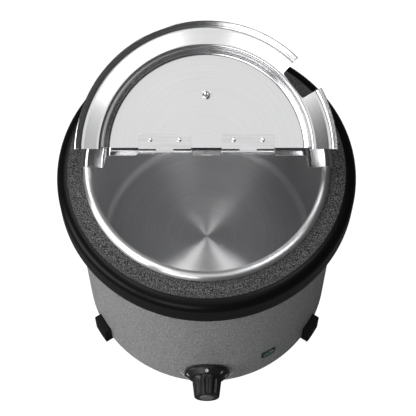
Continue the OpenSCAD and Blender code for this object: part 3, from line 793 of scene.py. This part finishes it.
def lid_rear():
    piece = cut_by_plane(whole_lid("lid_rear_sheet"), REAR_EDGE, True)
    for hinge in (-1, 1):
        combine(piece, prism("gap", hinge_gap(hinge), LID_TOP - 8, LID_TOP + 8))
    bevel(piece, 0.28, 2, 50)
    place_piece(piece, "lid_rear_half", LOOK["lid_steel"], ["lid_rear"], 30)


def notch_outline():
    half = NOTCH_SPAN / 2
    out = []
    for reach, side in ((NOTCH_IN, -1), (175, -1), (175, 1), (NOTCH_IN, 1)):
        a = math.radians(NOTCH_ANGLE + side * half)
        out.append((reach * math.sin(a), -reach * math.cos(a)))
    return round_corners(out, 2.5)


def lid_front():
    piece = cut_by_plane(whole_lid("lid_front_sheet"), FRONT_EDGE, False)
    combine(piece, prism("notch", notch_outline(), 200, LID_TOP - 15))
    bevel(piece, 0.28, 2, 50)
    fold_back(piece)
    place_piece(piece, "lid_front_half", LOOK["lid_folded"], ["lid_front"], 30)


def leaf(name, hinge, side):
    """A hinge leaf: a rounded plate, its tongues and their curls. side is 1 rear, -1 front."""
    low = AXIS_Z - KNUCKLE_R
    x = hinge * HINGE_X
    start, reach = side * LEAF_START, side * LEAF_REACH
    corner = 2.2
    half = LEAF_W / 2
    spans = [(-KNUCKLE_W / 2, KNUCKLE_W / 2)]
    if side > 0:
        spans = [(-half, -KNUCKLE_W / 2 - 0.3), (KNUCKLE_W / 2 + 0.3, half)]
    outline = [(x - half, start), (x - half, reach - side * corner)]
    turn_left = (180, 90) if side > 0 else (180, 270)
    turn_right = (90, 0) if side > 0 else (270, 360)
    outline += arc(x - half + corner, reach - side * corner, corner, *turn_left, 6)
    outline += arc(x + half - corner, reach - side * corner, corner, *turn_right, 6)
    outline += [(x + half, start)]
    for a, b in reversed(spans):
        outline += [(x + b, start), (x + b, 0), (x + a, 0), (x + a, start)]
    clean = [p for i, p in enumerate(outline)
             if (Vector(p) - Vector(outline[i - 1])).length > 1e-4]
    rolls = [bevel(prism("plate", clean, low, low + LEAF_T), 0.15, 2, 50)]
    for a, b in spans:
        first, last = (-90, 205) if side < 0 else (-90, -385)
        curl = arc(0, 0, KNUCKLE_R, first, last, 30) + arc(0, 0, PIN_R + 0.05, last, first, 30)
        rolls.append(bevel(prism("roll", curl, a, b,
                                 shift(x, 0, AXIS_Z) @ turn("Z", 90) @ turn("X", 90)), 0.15, 2, 50))
    return join(name, rolls)


def rivet_head(name, x, y, z, up):
    dome = [(0, 0.75), (0.8, 0.7), (1.5, 0.5), (2.1, 0.22), (2.4, 0), (0, 0)]
    return lathe(name, [(r, z * up) for r, z in dome], 32, place=shift(x, y, z))


def hinges():
    for hinge, hand in ((-1, "left"), (1, "right")):
        front = leaf("front_leaf_" + hand + "_plate", hinge, -1)
        fold_back(front)
        place_piece(front, "lid_front_half", LOOK["hardware"], ["front_leaf_" + hand])
        rear = leaf("rear_leaf_" + hand + "_plate", hinge, 1)
        place_piece(rear, "lid_rear_half", LOOK["hardware"], ["rear_leaf_" + hand])


def rivets():
    under = LID_TOP - LID_T - LEAF_T
    for name, side, body in (("front_rivet_heads", -1, "lid_front_half"),
                             ("rear_rivet_heads", 1, "lid_rear_half")):
        heads = []
        for hinge in (-1, 1):
            for end in (-1, 1):
                x, y = hinge * HINGE_X + end * RIVET_X, side * RIVET_REACH
                heads.append(rivet_head("head", x, y, LID_TOP, 1))
                heads.append(rivet_head("head", x, y, under, -1))
        group = join(name, heads)
        if side < 0:
            fold_back(group)
        place_piece(group, body, LOOK["hardware"],
                    ["front_rivets" if side < 0 else "rear_rivets"])


def lid_screw():
    seat = LID_TOP - LID_T - 0.8
    head = [(0, -2.4), (2.2, -2.3), (3.6, -1.8), (4.2, -1.0), (4.4, 0), (0, 0)]
    piece = lathe("lid_screw_head", head, 48, place=shift(0, -LID_KNOB_REACH, seat))
    for angle in (0, 90):
        slot = prism("slot", rectangle(5.8, 1.5), -3, -0.7,
                     shift(0, -LID_KNOB_REACH, seat) @ turn("Z", angle))
        combine(piece, slot)
    shank = lathe("shank", [(0, 0), (2.5, 0), (2.5, 14), (0, 14)], 32,
                  place=shift(0, -LID_KNOB_REACH, seat))
    piece = join("lid_screw", [piece, shank])
    fold_back(piece)
    place_piece(piece, "lid_front_half", LOOK["hardware"], ["lid_knob_screw"])
    # Dark bars set just inside the screw head's cross slots: painted shade, dark sheets standing in for
    # the shade deep in the slots.
    slot_shade_bars = [prism("bar", rectangle(5.7, 1.4), -1.0, -0.65,
                  OPENED @ shift(0, -LID_KNOB_REACH, seat) @ turn("Z", angle)) for angle in (0, 90)]
    place_piece(join("lid_screw_slot_painted_shade", slot_shade_bars), "lid_front_half", LOOK["element_sheath"])


def lid_knob():
    outline = [(0, 0), (10.6, 0), (11, 0.5), (11, 1.6), (10.5, 2.2)]
    outline += arc(10.5, 8.0, 2.6, 250, 180, 6)
    outline += [(7.9, LID_KNOB_H - 13)]
    outline += arc(15.0, LID_KNOB_H - 7.2, 3.0, 235, 360, 10)
    outline += arc(15.0, LID_KNOB_H - 3.0, 3.0, 0, 90, 10)
    outline += [(8, LID_KNOB_H), (0, LID_KNOB_H)]
    piece = lathe("lid_knob_moulding", outline, 96, place=OPENED @ shift(0, -LID_KNOB_REACH, LID_TOP))
    place_piece(piece, "lid_front_half", LOOK["knob_phenolic"], ["lid_knob"])


# ---- Control knob ----


def grip_shape(tip):
    """Ten flutes between rounded ribs, fading out at the base and at the tip."""
    def shape(angle, r, z):
        if r < GRIP_TIP_R - 2.2:
            return r
        wave = 0.5 + 0.5 * math.cos(10 * (angle + math.radians(18)) + math.pi)
        groove = max(0.0, 1 - wave * 1.5) ** 0.8
        fade = min(1.0, max(0.0, (z - 2.2) / 2.5)) * min(1.0, max(0.0, (tip - 1.2 - z) / 1.5))
        return r - 1.7 * groove * fade
    return shape


def control_knob():
    base = DIAL_BACK + DIAL_T - 0.6
    length = CONTROL_TIP - base
    outline = [(0, 0), (GRIP_R + 0.4, 0), (GRIP_R + 0.2, 1.2)]
    steps = 18
    for i in range(steps + 1):
        t = i / steps
        outline.append((GRIP_R + (GRIP_TIP_R - GRIP_R) * t, 2.0 + (length - 4.6) * t))
    outline += arc(GRIP_TIP_R - 2.0, length - 2.6, 2.0, 0, 90, 6)
    outline += [(9.4, length - 0.6), (9.2, length - 0.9), (9.1, length - 2.4), (0, length - 2.4)]
    grip = lathe("control_grip", outline, 240, grip_shape(length), at_front(CONTROL_Z) @ shift(0, 0, base))
    place_piece(grip, "control", LOOK["control_plastic"], ["control_knob"])

    face = [(0, -2.4), (9.0, -2.4), (9.0, -0.5), (8.7, -0.2), (8.2, -0.1), (7.6, -0.3),
            (4, -0.35), (0, -0.35)]
    cap = lathe("control_cap", face, 96, place=at_front(CONTROL_Z) @ shift(0, 0, CONTROL_TIP))
    place_piece(cap, "control", LOOK["cap_silver"], ["knob_cap"])


def dial():
    top_r = GRIP_R + 3
    outline = [(7, 0.6), (DIAL_R - 3, 0.6), (DIAL_R - 3, 0)]
    outline += [(DIAL_R - 0.5, 0), (DIAL_R, 0.5), (DIAL_R, DIAL_EDGE - 0.5)]
    outline += [(DIAL_R - 0.15, DIAL_EDGE), (DIAL_R - 0.6, DIAL_EDGE + 0.5)]
    outline += [(top_r + 0.5, DIAL_T - 0.3), (top_r, DIAL_T), (7, DIAL_T)]
    piece = lathe("dial_cone", outline, 192, place=at_front(CONTROL_Z) @ shift(0, 0, DIAL_BACK))
    place_piece(piece, "control", LOOK["control_plastic"], ["dial_skirt"])


def text_mesh(name, text, size, thickness):
    curve = bpy.data.curves.new(name, "FONT")
    curve.body = text
    curve.size = size * MM
    curve.extrude = thickness * MM
    curve.offset = 0.12 * MM
    curve.align_x = "CENTER"
    curve.align_y = "CENTER"
    holder = bpy.data.objects.new(name, curve)
    bpy.context.scene.collection.objects.link(holder)
    graph = bpy.context.evaluated_depsgraph_get()
    mesh = bpy.data.meshes.new_from_object(holder.evaluated_get(graph))
    bpy.data.objects.remove(holder)
    piece = bpy.data.objects.new(name, mesh)
    bpy.context.scene.collection.objects.link(piece)
    return piece


def dial_marks():
    """A diamond at the off position and the numbers 1 to 9 round the cone."""
    inner, outer = GRIP_R + 3, DIAL_R
    slope = math.degrees(math.atan2(DIAL_T - DIAL_EDGE, outer - inner))
    middle = (inner + outer) / 2
    height = DIAL_BACK + (DIAL_T + DIAL_EDGE) / 2 + 0.1
    marks = []
    for i in range(10):
        if i == 0:
            mark = prism("mark", [(0, -2.6), (2.3, 0), (0, 2.6), (-2.3, 0)], -0.1, 0.1)
            hollow = prism("hollow", [(0, -1.1), (0.9, 0), (0, 1.1), (-0.9, 0)], -1, 1)
            combine(mark, hollow)
        else:
            mark = text_mesh("mark", str(i), 5.4, 0.1)
        put = shift(0, middle, height) @ turn("X", -slope)
        about = turn("Z", -18 - i * 30 if i else 0)
        mark.data.transform(in_metres(at_front(CONTROL_Z) @ about @ put))
        marks.append(mark)
    group = join("dial_marks", marks)
    place_piece(group, "control", PRINT_WHITE)


def index_lines():
    """Two printed lines on the casing, one on each side of the dial."""
    start, reach, rise, half_width = 29.0, 5.0, 11.0, 0.6
    below = 24.0            # the lower end lies this far below the knob's middle
    lines = []
    for side in (-1, 1):
        bm = bmesh.new()
        for t in (0, 1):
            for w in (-half_width, half_width):
                x = side * (start + reach * t + w)
                height = CONTROL_Z - below + rise * t - w * 0.45
                for depth in (-0.2, 0.12):
                    r = BODY_R + depth
                    bm.verts.new((x, -math.sqrt(r * r - x * x), height))
        bmesh.ops.convex_hull(bm, input=bm.verts[:])
        lines.append(to_object(bm, "line"))
    group = join("index_lines", lines)
    place_piece(group, "base", PRINT_WHITE)


# ---- Indicator lamp, cable gland, small parts ----


def indicator():
    out = at_front(LAMP_Z, LAMP_ANGLE)
    frame_piece = prism("lamp_frame", round_corners(rectangle(19.6, 14.6), 2.6), BODY_R - 0.2,
                        BODY_R + 1.7, out)
    hole = prism("hole", round_corners(rectangle(16.2, 11.2), 1.6), BODY_R - 5, BODY_R + 5, out)
    combine(frame_piece, hole)
    bevel(frame_piece, 0.5, 3, 50)
    place_piece(frame_piece, "base", LOOK["control_plastic"], ["indicator_bezel"])
    lens = prism("lamp_lens", round_corners(rectangle(15.8, 10.8), 1.5), BODY_R - 2,
                 BODY_R + 3.4, out)
    bevel(lens, 1.2, 4, 50)
    place_piece(lens, "base", LOOK["lens_green"], ["indicator_lens"])


def softened():
    for node, width in (("gland_body", 0.5), ("gland_nut", 0.5), ("gland_seal", 0.4),
                        ("base_plate", 0.4), ("base_nut", 0.3), ("lid_knob_washer", 0.15)):
        piece = soft_copy(node, width)
        body = frame["nodes"][node]["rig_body"]
        place_piece(piece, body, LOOK[NODE_SLOT[node]], [node])


casing()
collar()
feet()
pot()
lid_rear()
lid_front()
hinges()
rivets()
lid_screw()
lid_knob()
control_knob()
dial()
dial_marks()
index_lines()
indicator()
softened()
